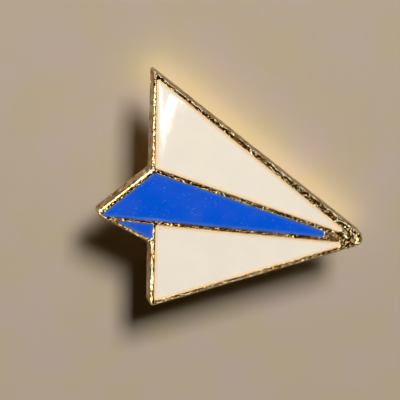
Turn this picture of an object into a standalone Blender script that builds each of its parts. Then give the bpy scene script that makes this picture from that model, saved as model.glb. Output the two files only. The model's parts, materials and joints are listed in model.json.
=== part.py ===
"""Enamel badge shaped like a folded paper plane, with its pin post and butterfly clutch.

Metres, +Z up. The pieces are modelled in a flat frame: its origin is where the post's axis
meets the plate's back, +X points to the plane's nose, +Y to its far wing tip and +Z out of the
enamelled face. The post stands under the plate's middle, so the badge rests level on the end of
its clutch: the empty that carries the flat frame is lifted until that end is at Z = 0.
"""
import math

import bmesh
import bpy
import numpy as np
from mathutils import Matrix, Vector

MM = 0.001

# The plane's drawing, in millimetres, counter-clockwise, corners before they are rounded
OUTLINE = [(-7.15, 15.42), (-7.31, 4.77), (-13.06, 0.44), (-7.31, -3.27), (-7.31, -10.43), (16.61, -5.20)]
OUTLINE_RADII = [0.20, 0.30, 0.50, 0.30, 0.50, 0.95]
FOLD_NOSE = (13.70, -4.55)
KEEL_ROOT = (-6.88, 4.42)
KEEL_TAIL = (-12.40, 0.25)
KEEL_END_X = 11.18
BARE_CELL_X = 11.48
FAR_WING = [(-6.78, 14.48), (-6.83, 4.97), (14.09, -4.18)]
FAR_WING_RADII = [0.15, 0.20, 0.22]
NEAR_WING = [(-6.71, -1.30), (-6.78, -9.73), (13.96, -5.10)]
NEAR_WING_RADII = [0.20, 0.25, 0.24]
TAIL = [(-10.90, -0.42), (-7.11, -2.85), (-7.02, -1.12)]
TAIL_RADII = [0.08, 0.15, 0.15]
KEEL_RADII = [0.20, 0.12, 0.10, 0.10]
BARE_CELL_RADII = [0.08, 0.08, 0.10]

# The struck plate and its enamel
PLATE_THICKNESS = 1.50 * MM
PLATE_EDGE = 0.10 * MM
CELL_DEPTH = 0.60 * MM
ENAMEL_BELOW_RIM = 0.05 * MM
FIT_GAP = 0.03 * MM

# The post, which is soldered to the plate's back by its flange
FLANGE_RADIUS = 1.40 * MM
FLANGE_THICKNESS = 0.30 * MM
STEM_RADIUS = 0.55 * MM
NECK_RADIUS = 0.40 * MM
POST_LENGTH = 7.60 * MM
POINT_LENGTH = 0.70 * MM
SOLDER_WIDTH = 0.35 * MM

# The butterfly clutch, measured down the post from the plate's back
CLOTH_GAP = 2.90 * MM
BASE_RADIUS = 5.75 * MM
BASE_SHEET = 0.35 * MM
BASE_HOLE = 0.75 * MM
LIP_REACH = 1.00 * MM
SEAM_GAP = 0.05 * MM
CAP_SHEET = 0.30 * MM
CAP_BRIM_RADIUS = 5.37 * MM
CROWN_RADIUS = 3.45 * MM
CROWN_END_RADIUS = 3.25 * MM
CROWN_ROUND = 0.95 * MM
CLUTCH_DEPTH = 8.60 * MM
SPRING_DEPTH = 6.50 * MM
SPRING_WIRE = 0.38 * MM
SPRING_HALF_LENGTH = 1.35 * MM

# The two squeeze tabs, bent from strip
TAB_SHEET = 0.35 * MM
TAB_SHANK_DEPTH = 4.65 * MM
TAB_LEG_Y = 1.80 * MM
TAB_FOOT_Y = 1.25 * MM
TAB_FOOT_DEPTH = 6.98 * MM
TAB_PAD_Y = 4.20 * MM
TAB_TIP = (5.15 * MM, -8.35 * MM)
TAB_BEND = 0.45 * MM
TAB_LEG_WIDTH = 3.60 * MM
TAB_SHANK_WIDTH = 2.60 * MM
TAB_PAD_WIDTH = 4.40 * MM
TAB_FLARE_LENGTH = 1.40 * MM
WINDOW_WIDTH = 3.00 * MM
WINDOW_HEIGHT = 0.75 * MM

ARC_STEP = math.radians(15)
ROUND_STEPS = 40
WELD = 0.001 * MM


def clear_scene():
    for obj in list(bpy.data.objects):
        bpy.data.objects.remove(obj, do_unlink=True)


def make_collection(name):
    collection = bpy.data.collections.new(name)
    bpy.context.scene.collection.children.link(collection)
    return collection


def make_material(name, hex_color, metallic, roughness):
    def linear(code):
        value = code / 255
        return value / 12.92 if value <= 0.04045 else ((value + 0.055) / 1.055) ** 2.4

    material = bpy.data.materials.new(name)
    material.use_nodes = True
    shader = material.node_tree.nodes["Principled BSDF"]
    color = [linear(int(hex_color[i:i + 2], 16)) for i in (0, 2, 4)]
    shader.inputs["Base Color"].default_value = (*color, 1)
    shader.inputs["Metallic"].default_value = metallic
    shader.inputs["Roughness"].default_value = roughness
    return material


def make_empty(name, parent, collection):
    empty = bpy.data.objects.new(name, None)
    empty.empty_display_size = 5 * MM
    empty.parent = parent
    collection.objects.link(empty)
    return empty


def make_object(name, mesh, material, parent, collection):
    obj = bpy.data.objects.new(name, mesh)
    if material and not mesh.materials:
        mesh.materials.append(material)
    obj.parent = parent
    collection.objects.link(obj)
    return obj


def rounded(corners, radii):
    """The path through the corners, each one replaced by an arc of its radius (0 keeps it)."""
    points = []
    for index, radius in enumerate(radii):
        corner = Vector(corners[index])
        if radius == 0:
            points.append(corner)
            continue
        back = (Vector(corners[index - 1]) - corner).normalized()
        ahead = (Vector(corners[(index + 1) % len(corners)]) - corner).normalized()
        half = back.angle(ahead) / 2
        centre = corner + (back + ahead).normalized() * (radius / math.sin(half))
        start = corner + back * (radius / math.tan(half)) - centre
        turn = math.copysign(math.pi - 2 * half, ahead.x * back.y - ahead.y * back.x)
        steps = max(2, math.ceil(abs(turn) / ARC_STEP))
        points += [centre + Matrix.Rotation(turn * k / steps, 2) @ start for k in range(steps + 1)]
    return points


def inset(corners, distance):
    """The corners of a counter-clockwise outline after each side moves inward by the distance."""
    moved = []
    for index, corner in enumerate(corners):
        here = Vector(corner)
        arriving = (here - Vector(corners[index - 1])).normalized()
        leaving = (Vector(corners[(index + 1) % len(corners)]) - here).normalized()
        inward = arriving.orthogonal() + leaving.orthogonal()
        moved.append(here + inward * (distance / (1 + arriving.dot(leaving))))
    return moved


def slab(name, points, low, high, edge, material, parent, collection):
    """A flat outline in millimetres, extruded between two heights, its rim edges rounded."""
    curve = bpy.data.curves.new(name, "CURVE")
    curve.dimensions = "2D"
    curve.fill_mode = "BOTH"
    curve.extrude = (high - low) / 2 - edge
    curve.bevel_depth = edge
    curve.bevel_resolution = 1
    curve.offset = -edge
    spline = curve.splines.new("POLY")
    spline.points.add(len(points) - 1)
    for spot, point in zip(spline.points, points):
        spot.co = (point[0] * MM, point[1] * MM, 0, 1)
    spline.use_cyclic_u = True
    drawn = make_object(name + "_outline", curve, None, parent, collection)
    drawn.location.z = (low + high) / 2
    bpy.context.view_layer.update()
    evaluated = drawn.evaluated_get(bpy.context.evaluated_depsgraph_get())
    mesh = bpy.data.meshes.new_from_object(evaluated)
    mesh.name = name
    edit = bmesh.new()
    edit.from_mesh(mesh)
    bmesh.ops.remove_doubles(edit, verts=edit.verts, dist=WELD)
    edit.to_mesh(mesh)
    edit.free()
    solid = make_object(name, mesh, material, parent, collection)
    solid.location = drawn.location
    bpy.data.objects.remove(drawn, do_unlink=True)
    return solid


def turned(name, profile, closed, material, parent, collection):
    """A solid of revolution about Z from (radius, height) points that run down its outer side."""
    count = len(profile)
    edges = [(k, (k + 1) % count) for k in range(count if closed else count - 1)]
    mesh = bpy.data.meshes.new(name)
    mesh.from_pydata([(radius, 0, height) for radius, height in profile], edges, [])
    solid = make_object(name, mesh, material, parent, collection)
    screw = solid.modifiers.new("Turn", "SCREW")
    screw.axis = "Z"
    screw.steps = ROUND_STEPS
    screw.render_steps = ROUND_STEPS
    screw.use_merge_vertices = True
    screw.merge_threshold = WELD
    return solid


def cut(solid, cutter):
    cutter.hide_render = True
    cutter.display_type = "WIRE"
    boolean = solid.modifiers.new("Cut " + cutter.name, "BOOLEAN")
    boolean.operation = "DIFFERENCE"
    boolean.solver = "EXACT"
    boolean.object = cutter


def keel_at(x, edge_start):
    """The point at x on the keel's edge that runs from edge_start to the nose."""
    slope = (FOLD_NOSE[1] - edge_start[1]) / (FOLD_NOSE[0] - edge_start[0])
    return (x, edge_start[1] + slope * (x - edge_start[0]))


def make_badge(parent, parts, cutters, gold):
    """The die-struck plate with five sunk cells, four of them filled with enamel."""
    white = make_material("white_enamel", "EDE6D3", 0, 0.12)
    blue = make_material("blue_enamel", "1450D2", 0, 0.12)
    keel = [KEEL_ROOT, KEEL_TAIL, keel_at(KEEL_END_X, KEEL_TAIL), keel_at(KEEL_END_X, KEEL_ROOT)]
    bare = [keel_at(BARE_CELL_X, KEEL_ROOT), keel_at(BARE_CELL_X, KEEL_TAIL), FOLD_NOSE]
    cells = [
        ("far_wing", FAR_WING, FAR_WING_RADII, white),
        ("near_wing", NEAR_WING, NEAR_WING_RADII, white),
        ("keel", keel, KEEL_RADII, blue),
        ("tail", TAIL, TAIL_RADII, blue),
        ("bare", bare, BARE_CELL_RADII, None),
    ]
    floor = PLATE_THICKNESS - CELL_DEPTH
    outline = rounded(OUTLINE, OUTLINE_RADII)
    plate = slab("base_plate", outline, 0, PLATE_THICKNESS, PLATE_EDGE, gold, parent, parts)
    for name, corners, radii, enamel in cells:
        path = rounded(corners, radii)
        cut(plate, slab("cell_" + name, path, floor, PLATE_THICKNESS + MM, 0, None, parent, cutters))
        if enamel:
            inner = rounded(inset(corners, FIT_GAP / MM), [radius - FIT_GAP / MM for radius in radii])
            top = PLATE_THICKNESS - ENAMEL_BELOW_RIM
            slab("enamel_" + name, inner, floor + FIT_GAP, top, 0, enamel, parent, parts)


def make_post(parent, parts, gold):
    """The headed pin with its snap neck, and the solder bead round its flange."""
    top = -FIT_GAP
    seat = top - FLANGE_THICKNESS
    neck_top = -SPRING_DEPTH + SPRING_WIRE / 2 + SEAM_GAP
    neck_low = -SPRING_DEPTH - SPRING_WIRE / 2 - SEAM_GAP
    shoulder = -POST_LENGTH + POINT_LENGTH
    profile = [
        (0, top),
        (FLANGE_RADIUS, top),
        (FLANGE_RADIUS, seat + 0.08 * MM),
        (FLANGE_RADIUS - 0.08 * MM, seat),
        (STEM_RADIUS + 0.12 * MM, seat),
        (STEM_RADIUS, seat - 0.12 * MM),
        (STEM_RADIUS, neck_top),
        (NECK_RADIUS, neck_top),
        (NECK_RADIUS, neck_low),
        (STEM_RADIUS, neck_low),
        (STEM_RADIUS, shoulder),
        (STEM_RADIUS * 0.72, shoulder - POINT_LENGTH * 0.45),
        (STEM_RADIUS * 0.25, shoulder - POINT_LENGTH * 0.92),
        (0, -POST_LENGTH),
    ]
    turned("post", profile, False, gold, parent, parts)
    inner = FLANGE_RADIUS + FIT_GAP
    bead = [
        (inner, top),
        (inner + SOLDER_WIDTH, top),
        (inner + SOLDER_WIDTH * 0.45, top - FLANGE_THICKNESS * 0.30),
        (inner + SOLDER_WIDTH * 0.12, top - FLANGE_THICKNESS * 0.75),
        (inner, top - FLANGE_THICKNESS * 0.80),
    ]
    solder = make_material("solder", "B9B6AC", 1, 0.38)
    turned("post_solder", bead, True, solder, parent, parts)


def make_clutch_base(parent, parts, brass):
    """The disc that bears on the cloth, its rim rolled under the cap's brim."""
    face = -CLOTH_GAP
    under = face - BASE_SHEET
    lip_top = under - CAP_SHEET - 2 * SEAM_GAP
    lip_low = lip_top - CAP_SHEET
    wall = CAP_BRIM_RADIUS + SEAM_GAP
    profile = [
        (BASE_RADIUS - 0.30 * MM, face),
        (BASE_RADIUS - 0.08 * MM, face - 0.10 * MM),
        (BASE_RADIUS, face - 0.32 * MM),
        (BASE_RADIUS, lip_top),
        (BASE_RADIUS - 0.10 * MM, lip_low + 0.08 * MM),
        (wall, lip_low),
        (BASE_RADIUS - LIP_REACH, lip_low),
        (BASE_RADIUS - LIP_REACH - 0.10 * MM, (lip_low + lip_top) / 2),
        (BASE_RADIUS - LIP_REACH, lip_top),
        (wall, lip_top),
        (wall, under),
        (BASE_HOLE + 0.30 * MM, under),
        (BASE_HOLE + 0.25 * MM, lip_low),
        (BASE_HOLE, lip_low),
        (BASE_HOLE, face - 0.15 * MM),
        (BASE_HOLE + 0.15 * MM, face),
    ]
    turned("clutch_base", profile, True, brass, parent, parts)


def make_clutch_cap(parent, parts, cutters, brass):
    """The drawn cap over the mechanism, with a window on each side for a tab."""
    brim_top = -CLOTH_GAP - BASE_SHEET - SEAM_GAP
    brim_low = brim_top - CAP_SHEET
    round_top = -CLUTCH_DEPTH + CROWN_ROUND
    profile = [(0, -CLUTCH_DEPTH + CAP_SHEET)]
    inner_round = CROWN_ROUND - CAP_SHEET
    centre = CROWN_END_RADIUS - CROWN_ROUND
    for k in range(5):
        angle = math.pi / 2 * k / 4
        profile.append((centre + inner_round * math.sin(angle), round_top - inner_round * math.cos(angle)))
    profile += [
        (CROWN_RADIUS - CAP_SHEET, brim_low),
        (CROWN_RADIUS - CAP_SHEET + 0.15 * MM, brim_top),
        (CAP_BRIM_RADIUS - 0.08 * MM, brim_top),
        (CAP_BRIM_RADIUS, (brim_top + brim_low) / 2),
        (CAP_BRIM_RADIUS - 0.08 * MM, brim_low),
        (CROWN_RADIUS + 0.15 * MM, brim_low),
        (CROWN_RADIUS, brim_low - 0.15 * MM),
    ]
    for k in range(6):
        angle = math.pi / 2 * k / 5
        profile.append((centre + CROWN_ROUND * math.cos(angle), round_top - CROWN_ROUND * math.sin(angle)))
    profile.append((0, -CLUTCH_DEPTH))
    cap = turned("clutch_cap", profile, False, brass, parent, parts)
    bpy.ops.mesh.primitive_cube_add(size=1)
    window = bpy.context.object
    window.name = "tab_windows"
    window.dimensions = (WINDOW_WIDTH, 4 * CROWN_RADIUS, WINDOW_HEIGHT)
    window.location.z = -TAB_SHANK_DEPTH
    window.parent = parent
    for collection in list(window.users_collection):
        collection.objects.unlink(window)
    cutters.objects.link(window)
    cut(cap, window)


def tab_half_width(point, to_tip):
    """Half the strip's width: wide leg in the cap, narrow shank, then the round-ended pad."""
    bend_end = -TAB_SHANK_DEPTH - TAB_BEND
    if point.y > bend_end - WELD:
        return TAB_SHANK_WIDTH / 2
    if point.x < TAB_PAD_Y:
        return TAB_LEG_WIDTH / 2
    spread = (TAB_PAD_WIDTH - TAB_SHANK_WIDTH) / 2
    grown = min(1, (bend_end - point.y) / TAB_FLARE_LENGTH)
    width = TAB_SHANK_WIDTH / 2 + spread * math.sin(grown * math.pi / 2)
    past_round = max(0, 1 - to_tip / (TAB_PAD_WIDTH / 2))
    return width * math.sqrt(max(0.04, 1 - past_round ** 2))


def make_tabs(clutch, parts, brass):
    """Two bent strips: foot under the spring, leg, shank through the window, squeeze pad."""
    corners = [
        (TAB_FOOT_Y, -TAB_FOOT_DEPTH),
        (TAB_LEG_Y, -TAB_FOOT_DEPTH),
        (TAB_LEG_Y, -TAB_SHANK_DEPTH),
        (TAB_PAD_Y, -TAB_SHANK_DEPTH),
        TAB_TIP,
    ]
    path = rounded(corners, [0, 0.25 * MM, TAB_BEND, TAB_BEND, 0])
    tip = path.pop()
    path += [path[-1].lerp(tip, share) for share in (0.2, 0.4, 0.55, 0.7, 0.82, 0.91, 0.97, 1)]
    mesh = bpy.data.meshes.new("clutch_tab")
    edit = bmesh.new()
    rows = []
    for point in path:
        half = tab_half_width(point, (tip - point).length)
        rows.append([edit.verts.new((side * half, point.x, point.y)) for side in (-1, 0, 1)])
    for row, following in zip(rows, rows[1:]):
        for k in range(2):
            edit.faces.new((row[k], row[k + 1], following[k + 1], following[k]))
    edit.to_mesh(mesh)
    edit.free()
    for name, turn in (("clutch_tab_far", 0), ("clutch_tab_near", math.pi)):
        tab = make_object(name, mesh, brass, clutch, parts)
        tab.rotation_euler.z = turn
        sheet = tab.modifiers.new("Sheet", "SOLIDIFY")
        sheet.thickness = TAB_SHEET
        sheet.offset = 0


def make_spring(parent, parts):
    """The waisted wire loop: its waist snaps into the post's neck, its ends meet the tabs."""
    steel = make_material("spring_steel", "C9C9C6", 1, 0.25)
    waist = NECK_RADIUS + SEAM_GAP + SPRING_WIRE / 2
    curve = bpy.data.curves.new("clutch_spring", "CURVE")
    curve.dimensions = "3D"
    curve.bevel_depth = SPRING_WIRE / 2
    curve.bevel_resolution = 2
    spline = curve.splines.new("POLY")
    count = 40
    spline.points.add(count - 1)
    for k, spot in enumerate(spline.points):
        angle = 2 * math.pi * k / count
        x = waist * math.cos(angle) * (1 + 1.8 * math.sin(angle) ** 2)
        spot.co = (x, SPRING_HALF_LENGTH * math.sin(angle), -SPRING_DEPTH, 1)
    spline.use_cyclic_u = True
    make_object("clutch_spring", curve, steel, parent, parts)


def world_points(objects):
    graph = bpy.context.evaluated_depsgraph_get()
    points = []
    for obj in objects:
        evaluated = obj.evaluated_get(graph)
        mesh = evaluated.to_mesh()
        points += [obj.matrix_world @ vertex.co for vertex in mesh.vertices]
        evaluated.to_mesh_clear()
    return np.array(points)


def lift(rest, objects):
    """Move the flat frame so that the lowest point is at Z = 0 and the box is centred in plan."""
    bpy.context.view_layer.update()
    points = world_points(objects)
    low = points.min(axis=0)
    high = points.max(axis=0)
    rest.location = (-(low[0] + high[0]) / 2, -(low[1] + high[1]) / 2, -low[2])


clear_scene()
parts_collection = make_collection("paper_plane_badge")
cutter_collection = make_collection("cutters")
gold_plating = make_material("gold_plating", "C9A264", 1, 0.28)
clutch_brass = make_material("clutch_brass", "D2AE6A", 1, 0.24)
rest_frame = make_empty("rest_frame", None, parts_collection)
badge_frame = make_empty("badge_frame", rest_frame, parts_collection)
clutch_frame = make_empty("clutch_frame", rest_frame, parts_collection)
make_badge(badge_frame, parts_collection, cutter_collection, gold_plating)
make_post(badge_frame, parts_collection, gold_plating)
make_clutch_base(clutch_frame, parts_collection, clutch_brass)
make_clutch_cap(clutch_frame, parts_collection, cutter_collection, clutch_brass)
make_tabs(clutch_frame, parts_collection, clutch_brass)
make_spring(clutch_frame, parts_collection)
for part in parts_collection.objects:
    if part.type == "MESH":
        part.data.shade_smooth()
lift(rest_frame, [part for part in parts_collection.objects if part.type != "EMPTY"])
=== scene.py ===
import json
import math

import bpy
import numpy as np
from mathutils import Matrix, Vector, geometry


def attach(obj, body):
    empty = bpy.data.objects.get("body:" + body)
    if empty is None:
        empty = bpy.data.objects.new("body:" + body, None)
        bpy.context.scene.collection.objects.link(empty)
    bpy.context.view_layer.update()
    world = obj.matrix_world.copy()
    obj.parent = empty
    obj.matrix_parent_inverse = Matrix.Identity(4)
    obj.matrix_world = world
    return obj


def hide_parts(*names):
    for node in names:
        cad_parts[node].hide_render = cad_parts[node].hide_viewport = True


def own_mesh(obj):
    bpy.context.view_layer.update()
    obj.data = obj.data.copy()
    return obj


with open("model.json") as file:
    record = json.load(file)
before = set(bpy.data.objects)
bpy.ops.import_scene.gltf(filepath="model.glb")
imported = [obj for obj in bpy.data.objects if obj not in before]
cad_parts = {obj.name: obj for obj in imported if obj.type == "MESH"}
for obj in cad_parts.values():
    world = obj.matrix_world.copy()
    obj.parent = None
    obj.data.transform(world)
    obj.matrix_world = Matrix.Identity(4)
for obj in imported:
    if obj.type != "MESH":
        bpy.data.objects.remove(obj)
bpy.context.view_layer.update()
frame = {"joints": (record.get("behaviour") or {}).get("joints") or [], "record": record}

# ---- How the badge lies ----
# The badge stands level on the end of its clutch. Its pieces are worked out in millimetres from
# where the post's axis meets the plate's back: +X to the nose, +Y to the far wing's tip, +Z out
# of the enamelled face.
SLIDE = [joint for joint in frame["joints"] if joint["name"] == "badge_slide"][0]
FACE_OUT = np.array(SLIDE["axis"]) / np.linalg.norm(SLIDE["axis"])
TO_FAR_TIP = np.array([0.0, 1.0, 0.0])
TO_NOSE = np.cross(TO_FAR_TIP, FACE_OUT)
AXES = np.stack([TO_NOSE, TO_FAR_TIP, FACE_OUT])
BACK_MOUNT = [mount for mount in frame["record"]["mounts"] if mount["name"] == "plate_back"][0]
BACK_MOUNT_FLAT = np.array([0.0, 5.5, 0.0])
MM = 0.001
FLAT_ORIGIN = np.array(BACK_MOUNT["pos_m"]) - BACK_MOUNT_FLAT * MM @ AXES


def lay(points):
    """Flat points in millimetres, turned onto the three axes and moved to where the badge lies."""
    return np.asarray(points) * MM @ AXES + FLAT_ORIGIN


# ---- The plate ----
# A die-struck blank of zinc or brass, tumbled and gold plated. Its rim and fold lines stand
# round-shouldered above five sunk cells, its nose is left solid and lumpy, and the trimmed
# edge keeps a low burr along its foot.
OUTLINE = [(-7.15, 15.42), (-7.31, 4.77), (-13.06, 0.44), (-7.31, -3.27), (-7.31, -10.43), (16.61, -5.20)]
OUTLINE_RADII = [0.20, 0.30, 0.50, 0.30, 0.50, 0.95]
FOLD_NOSE = (13.70, -4.55)
KEEL_ROOT = (-6.88, 4.42)
KEEL_TAIL = (-12.40, 0.25)
KEEL_END_X = 11.18
BARE_CELL_X = 11.48
PLATE_THICKNESS = 1.50
CELL_DEPTH = 0.60
BARE_CELL_DEPTH = 0.24
CELL_SHOULDER = 0.12
RIM_SHOULDER = 0.16
RIM_ROLL_WIDTH = 0.46
RIM_ROLL_DROP = 0.15
FOOT_SHOULDER = 0.10
BURR_HEIGHT = 0.16
BURR_WIDTH = 0.07
BURR_REACH = 0.035
PATH_STEP = 0.055
ARC_POINTS = 17
LAND_GRID = 0.06
GRID_JITTER = 0.2
GRID_SEED = 5
GRID_CLEARANCE = 0.02
NOSE_START = 11.80
NOSE_FULL = 13.10
NOSE_SINK = 0.06
STRUCK_FROM = 0.40
STRUCK_FADE = 0.30
WALL_INSET = 0.03
WALL_FADE = 0.3
LATTICE = 97

# Uneven layers of the struck metal, each a height and a size in millimetres and a random seed
LINE_LUMPS = [(0.020, 0.33, 51), (0.012, 0.18, 52)]
NOSE_LUMPS = [(0.046, 0.42, 13), (0.034, 0.25, 14), (0.016, 0.15, 15)]
WALL_RIPPLE = [(0.040, 0.50, 21), (0.028, 0.24, 22)]


def keel_at(x, edge_start):
    """The point at x on the straight edge of the keel from edge_start to the nose."""
    slope = (FOLD_NOSE[1] - edge_start[1]) / (FOLD_NOSE[0] - edge_start[0])
    return (x, edge_start[1] + slope * (x - edge_start[0]))


CELLS = {
    "far_wing": ([(-6.78, 14.48), (-6.83, 4.97), (14.09, -4.18)], [0.15, 0.20, 0.22]),
    "near_wing": ([(-6.71, -1.30), (-6.78, -9.73), (13.96, -5.10)], [0.20, 0.25, 0.24]),
    "keel": (
        [KEEL_ROOT, KEEL_TAIL, keel_at(KEEL_END_X, KEEL_TAIL), keel_at(KEEL_END_X, KEEL_ROOT)],
        [0.20, 0.12, 0.12, 0.12],
    ),
    "tail": ([(-10.90, -0.42), (-7.11, -2.85), (-7.02, -1.12)], [0.08, 0.15, 0.15]),
    "bare": (
        [keel_at(BARE_CELL_X, KEEL_ROOT), keel_at(BARE_CELL_X, KEEL_TAIL), FOLD_NOSE],
        [0.08, 0.08, 0.10],
    ),
}


def rounded_path(corners, radii, step, closed=True):
    """Points at even steps along straight sides whose corners are arcs tangent to both sides.

    An arc of radius r sits at r / sin(half the corner's angle) from the corner.
    """
    corners = np.array(corners, float)
    pieces = []
    for index, radius in enumerate(radii):
        corner = corners[index]
        if radius == 0:
            pieces.append(corner[None])
            continue
        back = corners[index - 1] - corner
        ahead = corners[(index + 1) % len(corners)] - corner
        back /= np.linalg.norm(back)
        ahead /= np.linalg.norm(ahead)
        half = math.acos(back @ ahead) / 2
        middle = (back + ahead) / np.linalg.norm(back + ahead)
        centre = corner + middle * radius / math.sin(half)
        start = corner + back * radius / math.tan(half) - centre
        turn = math.copysign(math.pi - 2 * half, ahead[0] * back[1] - ahead[1] * back[0])
        angle = turn * np.linspace(0, 1, ARC_POINTS)
        across = np.array([-start[1], start[0]])
        pieces.append(centre + np.outer(np.cos(angle), start) + np.outer(np.sin(angle), across))
    rough = np.concatenate(pieces + ([pieces[0][:1]] if closed else []))
    length = np.concatenate([[0], np.cumsum(np.linalg.norm(np.diff(rough, axis=0), axis=1))])
    count = round(length[-1] / step)
    at = np.linspace(0, length[-1], count + 1)
    points = np.stack([np.interp(at, length, rough[:, k]) for k in (0, 1)], axis=1)
    return points[:-1] if closed else points


def outward_of(path):
    """The outward normal at each point of a closed counter-clockwise path: its tangent turned right."""
    along = np.roll(path, -1, axis=0) - np.roll(path, 1, axis=0)
    return np.stack([along[:, 1], -along[:, 0]], axis=1) / np.linalg.norm(along, axis=1)[:, None]


def lumps(u, v, size, seed):
    """Smooth random height from -1 to 1: a lattice of random values, blended by smoothstep."""
    table = np.random.default_rng(seed).uniform(-1, 1, (LATTICE, LATTICE))
    cell_u = np.floor(u / size)
    cell_v = np.floor(v / size)
    s = u / size - cell_u
    t = v / size - cell_v
    s = s * s * (3 - 2 * s)
    t = t * t * (3 - 2 * t)
    i = cell_u.astype(int) % LATTICE
    j = cell_v.astype(int) % LATTICE
    k = (i + 1) % LATTICE
    m = (j + 1) % LATTICE
    near = table[i, j] * (1 - s) + table[k, j] * s
    far = table[i, m] * (1 - s) + table[k, m] * s
    return near * (1 - t) + far * t


def layered(u, v, layers):
    """The sum of height * lumps over (height, size, seed) layers."""
    return sum(height * lumps(u, v, size, seed) for height, size, seed in layers)


def depth_inside(points, corners):
    """Distance inward from the nearest side of a convex counter-clockwise outline."""
    corners = np.array(corners)
    depths = []
    for corner, following in zip(corners, np.roll(corners, -1, axis=0)):
        side = (following - corner) / np.linalg.norm(following - corner)
        offset = points - corner
        depths.append(side[0] * offset[:, 1] - side[1] * offset[:, 0])
    return np.min(depths, axis=0)


def fill_between(loops, extra):
    """Triangles inside the first loop and outside the others, through the extra points too."""
    points = np.concatenate(loops + [extra])
    bounds = []
    first = 0
    for loop in loops:
        index = list(range(first, first + len(loop)))
        bounds.append(index[::-1] if bounds else index)
        first += len(loop)
    flat = [Vector(point) for point in points]
    result = geometry.delaunay_2d_cdt(flat, [], bounds, 2, 1e-7)
    origin = np.array([source[0] for source in result[3]])
    return origin[np.array(result[2])]


def strips(first, rows, count):
    """Quads between consecutive closed rings of count points, numbered from first."""
    start = first + np.arange(rows - 1)[:, None] * count + np.arange(count)
    ahead = first + np.arange(rows - 1)[:, None] * count + np.roll(np.arange(count), -1)
    return np.stack([start, start + count, ahead + count, ahead], axis=2).reshape(-1, 4)


def make_piece(name, points, quads, triangles):
    """A smooth-shaded object from flat points in millimetres and faces; unused points are dropped."""
    quads = np.asarray(quads, int).reshape(-1, 4)
    triangles = np.asarray(triangles, int).reshape(-1, 3)
    used = np.zeros(len(points), bool)
    used[quads] = True
    used[triangles] = True
    number = np.cumsum(used) - 1
    mesh = bpy.data.meshes.new(name)
    mesh.from_pydata(lay(points[used]).tolist(), [], number[quads].tolist() + number[triangles].tolist())
    mesh.validate()
    mesh.shade_smooth()
    height = mesh.attributes.new("height_mm", "FLOAT", "POINT")
    height.data.foreach_set("value", points[used, 2].astype(np.float32))
    piece = bpy.data.objects.new(name, mesh)
    bpy.context.scene.collection.objects.link(piece)
    return piece


def shoulder(radius, steps):
    """(inset, drop) pairs down a quarter round: inset radius (1 - sin a), drop radius (1 - cos a)."""
    angle = np.linspace(0, math.pi / 2, steps)
    return np.stack([radius * (1 - np.sin(angle)), radius * (1 - np.cos(angle))], axis=1)


def distance_to_outline(points):
    """The shortest distance from each point to the outline's sides, taken as line segments."""
    shortest = np.full(len(points), np.inf)
    for start, end in zip(np.array(OUTLINE), np.roll(OUTLINE, -1, axis=0)):
        side = end - start
        share = np.clip((points - start) @ side / (side @ side), 0, 1)
        away = points - start - share[:, None] * side
        shortest = np.minimum(shortest, np.hypot(away[:, 0], away[:, 1]))
    return shortest


def struck_height(x, y):
    """The struck face: lumps along the lines, deeper hammered lumps over the nose, and a roll.

    The roll lowers the rim outward by drop * (1 - distance / width) squared.
    """
    nose = np.clip((x - NOSE_START) / (NOSE_FULL - NOSE_START), 0, 1)
    nose = nose * nose * (3 - 2 * nose)
    inward = np.clip(distance_to_outline(np.column_stack([x, y])) / RIM_ROLL_WIDTH, 0, 1)
    roll = RIM_ROLL_DROP * (1 - inward) ** 2
    hammered = layered(x, y, NOSE_LUMPS) - NOSE_SINK
    return layered(x, y, LINE_LUMPS) + nose * hammered - roll


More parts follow.
